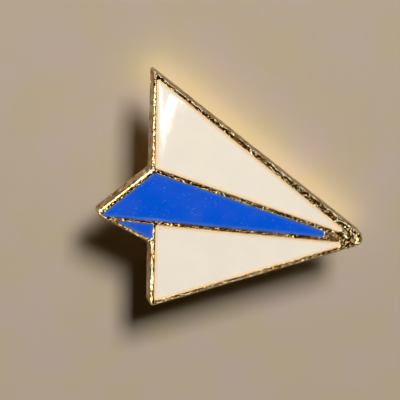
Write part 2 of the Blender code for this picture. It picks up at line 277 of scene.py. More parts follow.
def make_plate():
    """Rings carried round the outline and round each cell, joined by the land between them.

    The wall's ring moves inward by the ripple, which fades out at the foot and at the rim, and
    outward by the burr: reach * exp(-((height - burr height) / width) squared).
    """
    points = []
    quads = []
    rim = rounded_path(OUTLINE, OUTLINE_RADII, PATH_STEP)
    rim_out = outward_of(rim)
    top = PLATE_THICKNESS
    profile = [(inset, top - drop) for inset, drop in shoulder(RIM_SHOULDER, 9)]
    wall = np.linspace(top - RIM_SHOULDER, FOOT_SHOULDER, 12)[1:-1]
    profile += [(0.0, height) for height in wall]
    profile += [(inset, drop) for inset, drop in shoulder(FOOT_SHOULDER, 5)[::-1]]
    run = np.arange(len(rim)) * PATH_STEP
    for inset, height in profile:
        level = np.full(len(rim), height)
        worn = WALL_INSET + layered(run, level, WALL_RIPPLE)
        side = min(1.0, height / WALL_FADE) * min(1.0, (top - height) / RIM_SHOULDER)
        burr = BURR_REACH * math.exp(-((height - BURR_HEIGHT) / BURR_WIDTH) ** 2)
        ring = rim - rim_out * (inset + worn[:, None] * side - burr)
        points.append(np.column_stack([ring, level]))
    quads.append(strips(0, len(profile), len(rim)))
    first = len(profile) * len(rim)
    loops = [points[0][:, :2]]
    loop_index = [np.arange(len(rim))]
    floors = []
    floor_index = []
    for cell, (corners, radii) in CELLS.items():
        depth = BARE_CELL_DEPTH if cell == "bare" else CELL_DEPTH
        path = rounded_path(corners, radii, PATH_STEP)
        out = outward_of(path)
        rings = [(inset, top - drop) for inset, drop in shoulder(CELL_SHOULDER, 5)]
        rings += [(0.0, top - CELL_SHOULDER - (depth - CELL_SHOULDER) * share) for share in (0.5, 1.0)]
        for inset, height in rings:
            points.append(np.column_stack([path + out * inset, np.full(len(path), height)]))
        quads.append(strips(first, len(rings), len(path))[:, ::-1])
        loops.append(path + out * CELL_SHOULDER)
        loop_index.append(first + np.arange(len(path)))
        floors.append(path)
        floor_index.append(first + (len(rings) - 1) * len(path) + np.arange(len(path)))
        first += len(rings) * len(path)
    low = np.min(OUTLINE, axis=0)
    high = np.max(OUTLINE, axis=0)
    axes = [np.arange(low[k], high[k], LAND_GRID) for k in (0, 1)]
    grid = np.stack(np.meshgrid(*axes), axis=-1).reshape(-1, 2)
    grid += np.random.default_rng(GRID_SEED).uniform(-GRID_JITTER, GRID_JITTER, grid.shape) * LAND_GRID
    keep = depth_inside(grid, [OUTLINE[k] for k in (0, 2, 4, 5)]) > RIM_SHOULDER + GRID_CLEARANCE
    for corners, radii in CELLS.values():
        keep &= depth_inside(grid, corners) < -CELL_SHOULDER - GRID_CLEARANCE
    for notch in (1, 3):
        outside = [OUTLINE[notch + 1], OUTLINE[notch], OUTLINE[notch - 1]]
        keep &= depth_inside(grid, outside) < -RIM_SHOULDER - GRID_CLEARANCE
    land = grid[keep]
    points.append(np.column_stack([land, np.full(len(land), top)]))
    land_index = first + np.arange(len(land))
    triangles = [np.concatenate(loop_index + [land_index])[fill_between(loops, land)]]
    nothing = np.zeros((0, 2))
    for path, index in zip(floors, floor_index):
        triangles.append(index[fill_between([path], nothing)])
    last_ring = (len(profile) - 1) * len(rim) + np.arange(len(rim))
    back = fill_between([points[len(profile) - 1][:, :2]], nothing)
    triangles.append(last_ring[back][:, ::-1])
    points = np.concatenate(points)
    x, y, z = points.T
    struck = np.clip((z - (top - STRUCK_FROM)) / STRUCK_FADE, 0, 1)
    points[:, 2] = z + struck * struck_height(x, y)
    return make_piece("struck_plate", points, np.concatenate(quads), np.concatenate(triangles))


def linear(hex_color):
    """An sRGB hex colour as linear red, green, blue and full alpha."""
    codes = [int(hex_color[i:i + 2], 16) / 255 for i in (0, 2, 4)]
    return [c / 12.92 if c <= 0.04045 else ((c + 0.055) / 1.055) ** 2.4 for c in codes] + [1.0]


def new_material(name):
    material = bpy.data.materials.new(name)
    material.use_nodes = True
    material.node_tree.nodes.clear()
    return material


def add_node(material, kind, settings, inputs):
    """One node with its settings, its input values and the sockets that feed its inputs."""
    node = material.node_tree.nodes.new(kind)
    for name, value in settings.items():
        setattr(node, name, value)
    for name, value in inputs.items():
        if isinstance(value, bpy.types.NodeSocket):
            material.node_tree.links.new(value, node.inputs[name])
        else:
            node.inputs[name].default_value = value
    return node


def struck_gold_plating():
    """Bright gold with paler rubbed patches; the eye gets beads of light from its fine dimples.

    The trimmed wall is pitted, 0.26 mm from pit to pit, and spotted brown: partly dried polish,
    partly painted shade standing in for the dark board that the wall mirrors. The back is
    pebbled by the die: cells 0.30 mm across, only where the height is near nothing.
    """
    material = new_material("struck gold plating")
    where = add_node(material, "ShaderNodeTexCoord", {}, {}).outputs["Object"]
    height = add_node(material, "ShaderNodeAttribute", {"attribute_name": "height_mm"}, {}).outputs["Fac"]
    worn = add_node(
        material, "ShaderNodeTexNoise", {}, {"Vector": where, "Scale": 1 / (0.8 * MM), "Detail": 4},
    )
    patches = add_node(
        material, "ShaderNodeMapRange", {},
        {"Value": worn.outputs["Fac"], "From Min": 0.40, "From Max": 0.62},
    )
    color = add_node(
        material, "ShaderNodeMix", {"data_type": "RGBA"},
        {0: patches.outputs["Result"], 6: linear("E2CFA8"), 7: linear("C49C5C")},
    )
    on_wall = add_node(
        material, "ShaderNodeMapRange", {},
        {"Value": height, "From Min": 1.22, "From Max": 1.36, "To Min": 1.0, "To Max": 0.0},
    )
    spots = add_node(
        material, "ShaderNodeTexNoise", {}, {"Vector": where, "Scale": 1 / (0.60 * MM), "Detail": 2},
    )
    # Brown spots on the side wall: partly dried polish, partly painted shade standing in for the dark
    # shadowed board that the wall mirrors.
    stain = add_node(
        material, "ShaderNodeMapRange", {},
        {"Value": spots.outputs["Fac"], "From Min": 0.40, "From Max": 0.64, "To Min": 0.0, "To Max": 0.62},
    )
    stain_and_painted_shade = add_node(
        material, "ShaderNodeMath", {"operation": "MULTIPLY"}, {0: on_wall.outputs[0], 1: stain.outputs[0]},
    )
    color = add_node(
        material, "ShaderNodeMix", {"data_type": "RGBA"},
        {0: stain_and_painted_shade.outputs[0], 6: color.outputs[2], 7: linear("5E4320")},
    )
    haze = add_node(
        material, "ShaderNodeTexNoise", {}, {"Vector": where, "Scale": 1 / (0.35 * MM), "Detail": 3},
    )
    rough = add_node(
        material, "ShaderNodeMapRange", {},
        {"Value": haze.outputs["Fac"], "From Min": 0.35, "From Max": 0.70, "To Min": 0.05, "To Max": 0.15},
    )
    dimples = add_node(
        material, "ShaderNodeTexNoise", {}, {"Vector": where, "Scale": 1 / (0.21 * MM), "Detail": 1},
    )
    dimpled = add_node(
        material, "ShaderNodeBump", {},
        {"Strength": 0.95, "Distance": 0.080 * MM, "Height": dimples.outputs["Fac"]},
    )
    pebbles = add_node(
        material, "ShaderNodeTexVoronoi", {"feature": "SMOOTH_F1"},
        {"Vector": where, "Scale": 1 / (0.30 * MM)},
    )
    on_back = add_node(
        material, "ShaderNodeMapRange", {},
        {"Value": height, "From Min": 0.0, "From Max": 0.06, "To Min": 1.0, "To Max": 0.0},
    )
    pebbled = add_node(
        material, "ShaderNodeBump", {},
        {
            "Strength": on_back.outputs["Result"], "Distance": 0.05 * MM,
            "Height": pebbles.outputs["Distance"], "Normal": dimpled.outputs["Normal"],
        },
    )
    pits = add_node(
        material, "ShaderNodeTexNoise", {}, {"Vector": where, "Scale": 1 / (0.26 * MM), "Detail": 1},
    )
    pitted = add_node(
        material, "ShaderNodeBump", {},
        {
            "Strength": on_wall.outputs[0], "Distance": 0.19 * MM,
            "Height": pits.outputs["Fac"], "Normal": pebbled.outputs["Normal"],
        },
    )
    shader = add_node(
        material, "ShaderNodeBsdfPrincipled", {},
        {
            "Base Color": color.outputs[2], "Metallic": 1.0,
            "Roughness": rough.outputs["Result"], "Normal": pitted.outputs["Normal"],
        },
    )
    add_node(material, "ShaderNodeOutputMaterial", {}, {"Surface": shader.outputs[0]})
    return material


plate = make_plate()
plate.data.materials.append(struck_gold_plating())
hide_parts("base_plate")
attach(plate, "badge")

# ---- The enamel ----
# Coloured resin run into the cells and cured, then left a hair under the rims: its skin is
# flat and glossy, and climbs the metal in a narrow meniscus. Near the rims a warm colour is
# painted in as a reflection of the gold.
ENAMEL_LEVEL = 1.415
MENISCUS_RISE = 0.030
MENISCUS_WIDTH = 0.045
EDGE_OVERLAP = 0.02
EDGE_RINGS = (0.03, 0.07, 0.12, 0.18, 0.26)
ENAMEL_GRID = 0.35
ENAMEL_GRID_START = 0.34
SWELL = [(0.0012, 3.1, 31), (0.0003, 0.9, 32)]


def inset_corners(corners, distance):
    """The corners after each side of a counter-clockwise outline moves inward by the distance."""
    corners = np.array(corners)
    arriving = corners - np.roll(corners, 1, axis=0)
    arriving /= np.linalg.norm(arriving, axis=1)[:, None]
    leaving = np.roll(arriving, -1, axis=0)
    total = arriving + leaving
    inward = np.stack([-total[:, 1], total[:, 0]], axis=1)
    return corners + inward * (distance / (1 + np.sum(arriving * leaving, axis=1)))[:, None]


def make_enamel(name, corners, radii):
    """Height = level + rise * exp(-depth / width) + a slow swell, over rings and a grid."""
    edge_radii = [radius + EDGE_OVERLAP for radius in radii]
    edge = rounded_path(inset_corners(corners, -EDGE_OVERLAP), edge_radii, PATH_STEP * 1.5)
    spots = []
    for depth in EDGE_RINGS:
        small = [max(0.015, radius - depth) for radius in radii]
        spots.append(rounded_path(inset_corners(corners, depth), small, 0.10 + depth))
    low = np.min(corners, axis=0)
    high = np.max(corners, axis=0)
    axes = [np.arange(low[k], high[k], ENAMEL_GRID) for k in (0, 1)]
    grid = np.stack(np.meshgrid(*axes), axis=-1).reshape(-1, 2)
    spots.append(grid[depth_inside(grid, corners) > ENAMEL_GRID_START])
    inner = np.concatenate(spots)
    spots = np.concatenate([edge, inner])
    depth = np.maximum(0, depth_inside(spots, corners))
    swell = layered(spots[:, 0], spots[:, 1], SWELL)
    height = ENAMEL_LEVEL + MENISCUS_RISE * np.exp(-depth / MENISCUS_WIDTH) + swell
    count = len(edge)
    floor = PLATE_THICKNESS - CELL_DEPTH + 0.01
    skin = np.column_stack([spots, height])
    foot = np.column_stack([edge, np.full(count, floor)])
    points = np.concatenate([skin, foot])
    top = fill_between([edge], inner)
    base = fill_between([edge], np.zeros((0, 2)))[:, ::-1] + len(spots)
    ring = np.arange(count)
    ahead = np.roll(ring, -1)
    sides = np.stack([ring, ring + len(spots), ahead + len(spots), ahead], axis=1)
    piece = make_piece(name, points, sides, np.concatenate([top, base]))
    attribute = piece.data.attributes.new("edge_depth", "FLOAT", "POINT")
    attribute.data.foreach_set("value", np.concatenate([depth, np.zeros(count)]).astype(np.float32))
    return piece


def filled_enamel(name, body, cloud, painted_rim_reflection, speck, speck_share):
    """Resin enamel: body colour with faint clouds, fine specks and a painted reflection of the gold rims
    near the edge.
    """
    material = new_material(name)
    where = add_node(material, "ShaderNodeTexCoord", {}, {}).outputs["Object"]
    edge = add_node(material, "ShaderNodeAttribute", {"attribute_name": "edge_depth"}, {}).outputs["Fac"]
    mist = add_node(
        material, "ShaderNodeTexNoise", {}, {"Vector": where, "Scale": 1 / (2.6 * MM), "Detail": 3},
    )
    clouds = add_node(
        material, "ShaderNodeMapRange", {},
        {"Value": mist.outputs["Fac"], "From Min": 0.38, "From Max": 0.66},
    )
    clouded = add_node(
        material, "ShaderNodeMix", {"data_type": "RGBA"},
        {0: clouds.outputs["Result"], 6: linear(body), 7: linear(cloud)},
    )
    cells = add_node(material, "ShaderNodeTexVoronoi", {}, {"Vector": where, "Scale": 1 / (0.30 * MM)})
    dots = add_node(
        material, "ShaderNodeMapRange", {},
        {
            "Value": cells.outputs["Distance"], "From Min": 0.10, "From Max": 0.30,
            "To Min": 1.0, "To Max": 0.0,
        },
    )
    groups = add_node(
        material, "ShaderNodeTexNoise", {}, {"Vector": where, "Scale": 1 / (0.8 * MM), "Detail": 2},
    )
    some = add_node(
        material, "ShaderNodeMapRange", {},
        {
            "Value": groups.outputs["Fac"], "From Min": speck_share, "From Max": speck_share + 0.10,
            "To Min": 0.0, "To Max": 0.5,
        },
    )
    specks = add_node(
        material, "ShaderNodeMath", {"operation": "MULTIPLY"},
        {0: dots.outputs["Result"], 1: some.outputs["Result"]},
    )
    specked = add_node(
        material, "ShaderNodeMix", {"data_type": "RGBA"},
        {0: specks.outputs[0], 6: clouded.outputs[2], 7: linear(speck)},
    )
    # Painted reflection of the gold rims: a warm colour mixed in near the cell's edge, fading out over
    # about 0.4 mm.
    near = add_node(
        material, "ShaderNodeMapRange", {"interpolation_type": "SMOOTHSTEP"},
        {"Value": edge, "From Min": -0.10, "From Max": 0.42, "To Min": 1.0, "To Max": 0.0},
    )
    with_painted_reflection = add_node(
        material, "ShaderNodeMix", {"data_type": "RGBA"},
        {0: near.outputs["Result"], 6: specked.outputs[2], 7: linear(painted_rim_reflection)},
    )
    smears = add_node(
        material, "ShaderNodeTexNoise", {}, {"Vector": where, "Scale": 1 / (0.7 * MM), "Detail": 3},
    )
    rough = add_node(
        material, "ShaderNodeMapRange", {},
        {"Value": smears.outputs["Fac"], "From Min": 0.3, "From Max": 0.7, "To Min": 0.02, "To Max": 0.05},
    )
    skin = add_node(
        material, "ShaderNodeTexNoise", {}, {"Vector": where, "Scale": 1 / (0.5 * MM), "Detail": 3},
    )
    waves = add_node(
        material, "ShaderNodeBump", {},
        {"Strength": 0.3, "Distance": 0.0016 * MM, "Height": skin.outputs["Fac"]},
    )
    shader = add_node(
        material, "ShaderNodeBsdfPrincipled", {},
        {
            "Base Color": with_painted_reflection.outputs[2], "IOR": 1.5,
            "Roughness": rough.outputs["Result"], "Normal": waves.outputs["Normal"],
        },
    )
    add_node(material, "ShaderNodeOutputMaterial", {}, {"Surface": shader.outputs[0]})
    return material


# The fourth colour is the painted reflection of the gold rims near each edge.
white_enamel = filled_enamel("warm white resin enamel", "F3EDE3", "F0EAE1", "F6D29A", "FBF8F0", 0.66)
blue_enamel = filled_enamel("royal blue resin enamel", "0256E2", "1C59E0", "3F6BC0", "6C8FF0", 0.50)
ENAMELS = {"far_wing": white_enamel, "near_wing": white_enamel, "keel": blue_enamel, "tail": blue_enamel}
for cell, finish in ENAMELS.items():
    fill = make_enamel("fill_" + cell, *CELLS[cell])
    fill.data.materials.append(finish)
    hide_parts("enamel_" + cell)
    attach(fill, "badge")

# ---- The post ----
# A headed brass pin, turned and barrel plated, that is soldered to the back by its flange. It
# has a groove near its end for the clutch's spring, and a point that goes through the cloth.
FLANGE_RADIUS = 1.40
FLANGE_TOP = -0.01
FLANGE_SEAT = -0.33
STEM_RADIUS = 0.55
NECK_RADIUS = 0.40
NECK_TOP = -6.26
NECK_LOW = -6.74
POINT_SHOULDER = -6.90
POST_END = -7.60
POINT_RADIUS = 0.16
TURNED_STEPS = 112


def turned(name, profile, closed, roughen=None):
    """Radius and height carried round the axis: x = r cos t, y = r sin t, z = height.

    A closed profile gives a ring; an open one starts and ends on the axis, where it is capped
    by fans. The rows run down the outer side. roughen changes the finished points.
    """
    rows = profile if closed else profile[1:-1]
    angle = np.arange(TURNED_STEPS) / TURNED_STEPS * 2 * math.pi
    radius = rows[:, 0][:, None]
    height = np.repeat(rows[:, 1][:, None], TURNED_STEPS, axis=1)
    points = np.stack([radius * np.cos(angle), radius * np.sin(angle), height], axis=-1).reshape(-1, 3)
    quads = strips(0, len(rows), TURNED_STEPS)
    around = np.arange(TURNED_STEPS)
    ahead = np.roll(around, -1)
    last = (len(rows) - 1) * TURNED_STEPS
    triangles = np.zeros((0, 3), int)
    if closed:
        seam = np.stack([last + around, around, ahead, last + ahead], axis=1)
        quads = np.concatenate([quads, seam])
    else:
        ends = np.array([[0, 0, profile[0, 1]], [0, 0, profile[-1, 1]]])
        start = np.full(TURNED_STEPS, len(points))
        triangles = np.stack([start, around, ahead], axis=1)
        triangles = np.concatenate([triangles, np.stack([start + 1, last + ahead, last + around], axis=1)])
        points = np.concatenate([points, ends])
    if roughen:
        points = roughen(points)
    return make_piece(name, points, quads, triangles)


def turned_gold_plating():
    """Smooth bright gold; fine rings from the lathe 0.06 mm apart still show through the plating."""
    material = new_material("turned gold plating")
    where = add_node(material, "ShaderNodeTexCoord", {}, {}).outputs["Object"]
    height = add_node(material, "ShaderNodeAttribute", {"attribute_name": "height_mm"}, {}).outputs["Fac"]
    tarnish = add_node(
        material, "ShaderNodeTexNoise", {}, {"Vector": where, "Scale": 1 / (1.1 * MM), "Detail": 4},
    )
    color = add_node(
        material, "ShaderNodeMix", {"data_type": "RGBA"},
        {0: tarnish.outputs["Fac"], 6: linear("DDBE82"), 7: linear("B98C48")},
    )
    rings = add_node(
        material, "ShaderNodeTexNoise", {"noise_dimensions": "1D"},
        {"W": height, "Scale": 1 / 0.06, "Detail": 1},
    )
    ringed = add_node(
        material, "ShaderNodeBump", {},
        {"Strength": 0.6, "Distance": 0.006 * MM, "Height": rings.outputs["Fac"]},
    )
    rough = add_node(
        material, "ShaderNodeMapRange", {},
        {"Value": tarnish.outputs["Fac"], "From Min": 0.3, "From Max": 0.7, "To Min": 0.14, "To Max": 0.30},
    )
    shader = add_node(
        material, "ShaderNodeBsdfPrincipled", {},
        {
            "Base Color": color.outputs[2], "Metallic": 1.0,
            "Roughness": rough.outputs["Result"], "Normal": ringed.outputs["Normal"],
        },
    )
    add_node(material, "ShaderNodeOutputMaterial", {}, {"Surface": shader.outputs[0]})
    return material


post_profile = rounded_path(
    [
        (0, FLANGE_TOP), (FLANGE_RADIUS, FLANGE_TOP), (FLANGE_RADIUS, FLANGE_SEAT),
        (STEM_RADIUS, FLANGE_SEAT), (STEM_RADIUS, NECK_TOP), (NECK_RADIUS, NECK_TOP),
        (NECK_RADIUS, NECK_LOW), (STEM_RADIUS, NECK_LOW), (STEM_RADIUS, POINT_SHOULDER),
        (POINT_RADIUS, POST_END), (0, POST_END),
    ],
    [0, 0.06, 0.10, 0.16, 0.05, 0.05, 0.05, 0.05, 0.15, 0.10, 0], 0.045, closed=False,
)
post = turned("pin_post", post_profile, False)
post.data.materials.append(turned_gold_plating())
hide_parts("post")
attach(post, "badge")

# ---- The solder ----
# A bead of soft solder drawn in round the post's flange. It sets dull grey with a slumped,
# uneven toe, and burnt flux leaves it brown in places.
BEAD_INNER = 1.43
BEAD_OUTER = 1.78
BEAD_TOP = -0.005
BEAD_LOW = -0.27
TOE_WAVE = [(0.16, 0.7, 41), (0.05, 0.25, 42)]


def slump(points):
    """Each point moves out or in with the lumps, the more the farther it is from the flange."""
    radius = np.hypot(points[:, 0], points[:, 1])
    reach = (radius - BEAD_INNER) / (BEAD_OUTER - BEAD_INNER)
    wave = layered(points[:, 0], points[:, 1], TOE_WAVE)
    scale = 1 + reach * wave * (BEAD_OUTER - BEAD_INNER) / radius
    return points * np.column_stack([scale, scale, np.ones(len(points))])


def set_solder():
    """Grainy grey metal, rough where it froze last; brown flux stains 0.5 mm across."""
    material = new_material("soft solder")
    where = add_node(material, "ShaderNodeTexCoord", {}, {}).outputs["Object"]
    stain = add_node(
        material, "ShaderNodeTexNoise", {}, {"Vector": where, "Scale": 1 / (0.5 * MM), "Detail": 4},
    )
    burnt = add_node(
        material, "ShaderNodeMapRange", {},
        {"Value": stain.outputs["Fac"], "From Min": 0.52, "From Max": 0.68},
    )
    color = add_node(
        material, "ShaderNodeMix", {"data_type": "RGBA"},
        {0: burnt.outputs["Result"], 6: linear("BDBAB0"), 7: linear("7A5F3C")},
    )
    grains = add_node(material, "ShaderNodeTexVoronoi", {}, {"Vector": where, "Scale": 1 / (0.09 * MM)})
    rough = add_node(
        material, "ShaderNodeMapRange", {},
        {
            "Value": grains.outputs["Distance"], "From Min": 0.0, "From Max": 0.8,
            "To Min": 0.28, "To Max": 0.50,
        },
    )
    frosted = add_node(
        material, "ShaderNodeBump", {},
        {"Strength": 0.5, "Distance": 0.012 * MM, "Height": grains.outputs["Distance"]},
    )
    shader = add_node(
        material, "ShaderNodeBsdfPrincipled", {},
        {
            "Base Color": color.outputs[2], "Metallic": 1.0,
            "Roughness": rough.outputs["Result"], "Normal": frosted.outputs["Normal"],
        },
    )
    add_node(material, "ShaderNodeOutputMaterial", {}, {"Surface": shader.outputs[0]})
    return material


bead_profile = rounded_path(
    [
        (BEAD_INNER, BEAD_TOP), (BEAD_OUTER, BEAD_TOP), (1.58, -0.11),
        (1.47, BEAD_LOW + 0.03), (BEAD_INNER, BEAD_LOW),
    ],
    [0.01, 0.02, 0.12, 0.02, 0.01], 0.02,
)
bead = turned("solder_bead", bead_profile, True, slump)
bead.data.materials.append(set_solder())
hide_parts("post_solder")
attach(bead, "badge")

# ---- The clutch's base and cap ----
# Two pressings of thin plated brass. The base bears on the cloth, has a collar that guides the
# post, and its rim is rolled over the brim of the drawn cap to hold the two together.
BASE_RADIUS = 5.75
BASE_FACE = -2.90
BASE_UNDER = -3.25
ROLL_TOP = -3.65
ROLL_LOW = -3.95
ROLL_INNER = 4.65
SEAM_RADIUS = 5.42
COLLAR_INNER = 0.75
COLLAR_OUTER = 1.02
RING_RADIUS = 3.30
RING_WIDTH = 0.28
RING_DEPTH = 0.07
RING_BELOW = 0.10
RING_FADE = 0.05
CAP_SHEET = 0.30
CAP_BRIM_TOP = -3.30
CAP_BRIM_LOW = -3.60
CAP_BRIM_RADIUS = 5.37
CROWN_RADIUS = 3.45
CROWN_END_RADIUS = 3.25
CROWN_ROUND = 0.95
CLUTCH_END = -8.60
WINDOW_MIDDLE = -4.65
WINDOW_HALF_WIDTH = 1.50
WINDOW_HALF_HEIGHT = 0.375
WINDOW_REACH = 5


def press_ring(points):
    """A round-bottomed groove pressed through the sheet: depth * exp(-(offset / width) squared)."""
    offset = np.hypot(points[:, 0], points[:, 1]) - RING_RADIUS
    on_disc = np.clip((points[:, 2] - BASE_UNDER + RING_BELOW) / RING_FADE, 0, 1)
    return points - np.outer(on_disc * RING_DEPTH * np.exp(-(offset / RING_WIDTH) ** 2), [0, 0, 1])


def pressed_brass(name, pale, deep, line_mm):
    """Tumbled pressed brass: cloudy tarnish, faint drawn lines and a soft hammered sheen."""
    material = new_material(name)
    where = add_node(material, "ShaderNodeTexCoord", {}, {}).outputs["Object"]
    height = add_node(material, "ShaderNodeAttribute", {"attribute_name": "height_mm"}, {}).outputs["Fac"]
    tarnish = add_node(
        material, "ShaderNodeTexNoise", {}, {"Vector": where, "Scale": 1 / (2.2 * MM), "Detail": 5},
    )
    clouds = add_node(
        material, "ShaderNodeMapRange", {},
        {"Value": tarnish.outputs["Fac"], "From Min": 0.38, "From Max": 0.66},
    )
    color = add_node(
        material, "ShaderNodeMix", {"data_type": "RGBA"},
        {0: clouds.outputs["Result"], 6: linear(pale), 7: linear(deep)},
    )
    rough = add_node(
        material, "ShaderNodeMapRange", {},
        {"Value": clouds.outputs["Result"], "To Min": 0.17, "To Max": 0.34},
    )
    lines = add_node(
        material, "ShaderNodeTexNoise", {"noise_dimensions": "1D"},
        {"W": height, "Scale": 1 / line_mm, "Detail": 2},
    )
    drawn = add_node(
        material, "ShaderNodeBump", {},
        {"Strength": 0.5, "Distance": 0.005 * MM, "Height": lines.outputs["Fac"]},
    )
    dents = add_node(
        material, "ShaderNodeTexNoise", {}, {"Vector": where, "Scale": 1 / (0.45 * MM), "Detail": 2},
    )
    tumbled = add_node(
        material, "ShaderNodeBump", {},
        {
            "Strength": 0.5, "Distance": 0.020 * MM,
            "Height": dents.outputs["Fac"], "Normal": drawn.outputs["Normal"],
        },
    )
    shader = add_node(
        material, "ShaderNodeBsdfPrincipled", {},
        {
            "Base Color": color.outputs[2], "Metallic": 1.0,
            "Roughness": rough.outputs["Result"], "Normal": tumbled.outputs["Normal"],
        },
    )
    add_node(material, "ShaderNodeOutputMaterial", {}, {"Surface": shader.outputs[0]})
    return material


base_profile = rounded_path(
    [
        (BASE_RADIUS, BASE_FACE), (BASE_RADIUS, ROLL_LOW), (ROLL_INNER, ROLL_LOW), (ROLL_INNER, ROLL_TOP),
        (SEAM_RADIUS, ROLL_TOP), (SEAM_RADIUS, BASE_UNDER), (COLLAR_OUTER, BASE_UNDER),
        (COLLAR_OUTER, ROLL_LOW), (COLLAR_INNER, ROLL_LOW), (COLLAR_INNER, BASE_FACE),
    ],
    [0.32, 0.28, 0.13, 0.13, 0.04, 0.04, 0.08, 0.08, 0.08, 0.22], 0.09,
)
clutch_disc = turned("pressed_base", base_profile, True, press_ring)
clutch_disc.data.materials.append(pressed_brass("pressed brass", "DDBB75", "AE853F", 0.07))
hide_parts("clutch_base")
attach(clutch_disc, "clutch")

crown_inner = CROWN_RADIUS - CAP_SHEET
cap_profile = rounded_path(
    [
        (0, CLUTCH_END + CAP_SHEET), (CROWN_END_RADIUS - CAP_SHEET, CLUTCH_END + CAP_SHEET),
        (crown_inner, CAP_BRIM_TOP), (CAP_BRIM_RADIUS, CAP_BRIM_TOP), (CAP_BRIM_RADIUS, CAP_BRIM_LOW),
        (CROWN_RADIUS, CAP_BRIM_LOW), (CROWN_END_RADIUS + 0.03, CLUTCH_END), (0, CLUTCH_END),
    ],
    [0, CROWN_ROUND - CAP_SHEET, 0.40, 0.12, 0.12, 0.14, CROWN_ROUND, 0], 0.08, closed=False,
)
cap = turned("drawn_cap", cap_profile, False)
window = rounded_path(
    [
        (-WINDOW_HALF_WIDTH, -WINDOW_HALF_HEIGHT), (WINDOW_HALF_WIDTH, -WINDOW_HALF_HEIGHT),
        (WINDOW_HALF_WIDTH, WINDOW_HALF_HEIGHT), (-WINDOW_HALF_WIDTH, WINDOW_HALF_HEIGHT),
    ],
    [0.18, 0.18, 0.18, 0.18], 0.06,
)
count = len(window)
ends = [
    np.column_stack([window[:, 0], np.full(count, reach), window[:, 1] + WINDOW_MIDDLE])
    for reach in (-WINDOW_REACH, WINDOW_REACH)
]
lid = fill_between([window], np.zeros((0, 2)))
lids = np.concatenate([lid, lid[:, ::-1] + count])
punch = make_piece("window_punch", np.concatenate(ends), strips(0, 2, count), lids)
cutting = cap.modifiers.new("windows", "BOOLEAN")
cutting.object = punch
cutting.solver = "EXACT"
cut_mesh = bpy.data.meshes.new_from_object(cap.evaluated_get(bpy.context.evaluated_depsgraph_get()))
cap.modifiers.clear()
cap.data = cut_mesh
bpy.data.objects.remove(punch)
cut_mesh.set_sharp_from_angle(angle=math.radians(40))
cap.data.materials.clear()
cap.data.materials.append(pressed_brass("drawn brass", "E0BE7A", "B0873F", 0.16))
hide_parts("clutch_cap")
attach(cap, "clutch")

# ---- The squeeze tabs ----
# Two strips of the same brass, blanked and bent. The foot lies under the spring's end, the leg
# stands in the cap, the shank goes out through the window and the pad is dished for a finger.
TAB_SHEET = 0.35
TAB_FOOT = (1.25, -6.98)
TAB_HEEL = (1.80, -6.98)
TAB_SHANK_DEPTH = -4.65
TAB_PAD_Y = 4.20
TAB_TIP = (5.15, -8.35)
TAB_BEND = 0.45
TAB_LEG_HALF = 1.80
TAB_SHANK_HALF = 1.30
TAB_PAD_HALF = 2.20
TAB_FLARE = 1.40
PAD_DISH = 0.13
PAD_DISH_FROM_TIP = 2.20
PAD_DISH_SPREAD = 1.15
EDGE_ROUND = 0.11
TAB_STEP = 0.08
TAB_END_ROWS = 26
TAB_ACROSS = 23
LEG_NARROWS_AFTER = 0.6
LEG_NARROWS_OVER = 0.3


